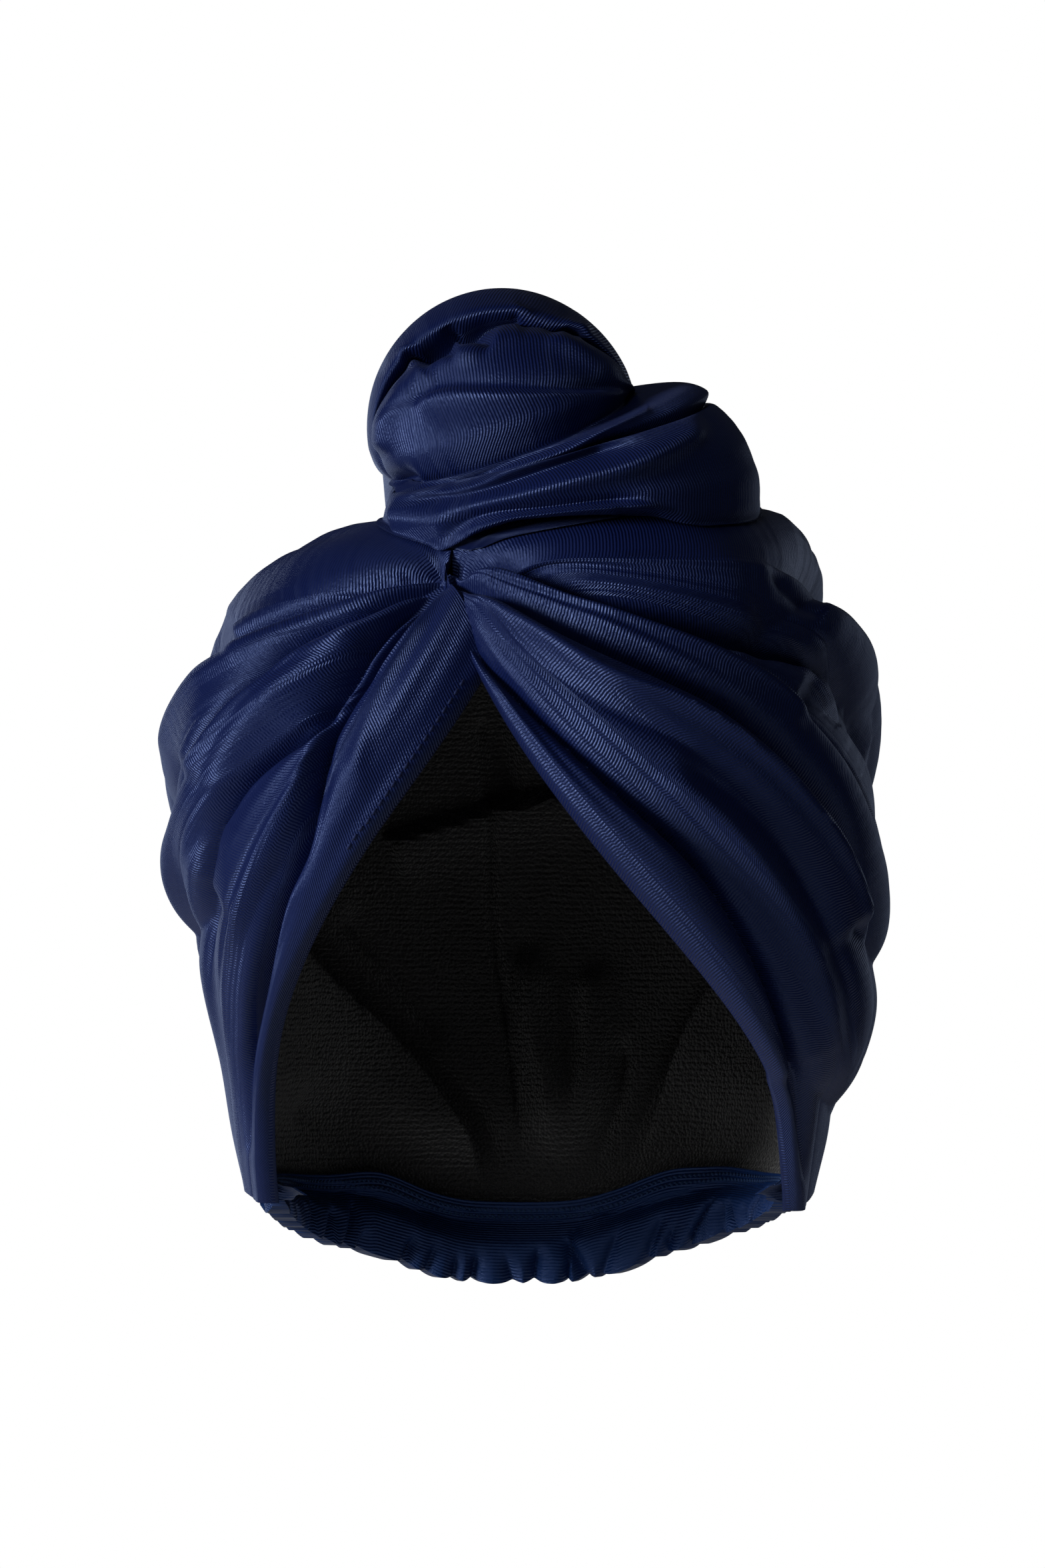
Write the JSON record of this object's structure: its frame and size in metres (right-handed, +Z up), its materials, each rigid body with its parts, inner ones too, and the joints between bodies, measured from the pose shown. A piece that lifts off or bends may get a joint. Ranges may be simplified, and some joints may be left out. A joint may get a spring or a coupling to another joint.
{
  "type": "hair towel wrap",
  "caption": "Twisted hair towel wrap in worn form: satin panels drawn to a forehead knot, wound bun and tail, terry lining, gathered elastic nape band",
  "frame": {"origin": "The inside top of the crown, where the wrap sits on the head", "axes": "+Z up, the face opening looks along -Y, +X is the viewer's right from the front (the wearer's left), the tail lies back over the crown towards +Y"},
  "size_m": [0.2202, 0.2591, 0.3004],
  "materials": {
    "satin": "navy satin knit with fine ribs across the folds, soft anisotropic sheen",
    "band_satin": "the same satin gathered over elastic, slightly greener navy",
    "terry": "matt black microfibre terry with short looped pile in rows",
    "button": "plain dark button"
  },
  "bodies": {
    "root": {"left_panel": "satin", "right_panel": "satin", "twisted_tail": "satin", "nape_band": "band_satin", "terry_lining": "terry", "tail_button": "button"}
  },
  "joints": []
}
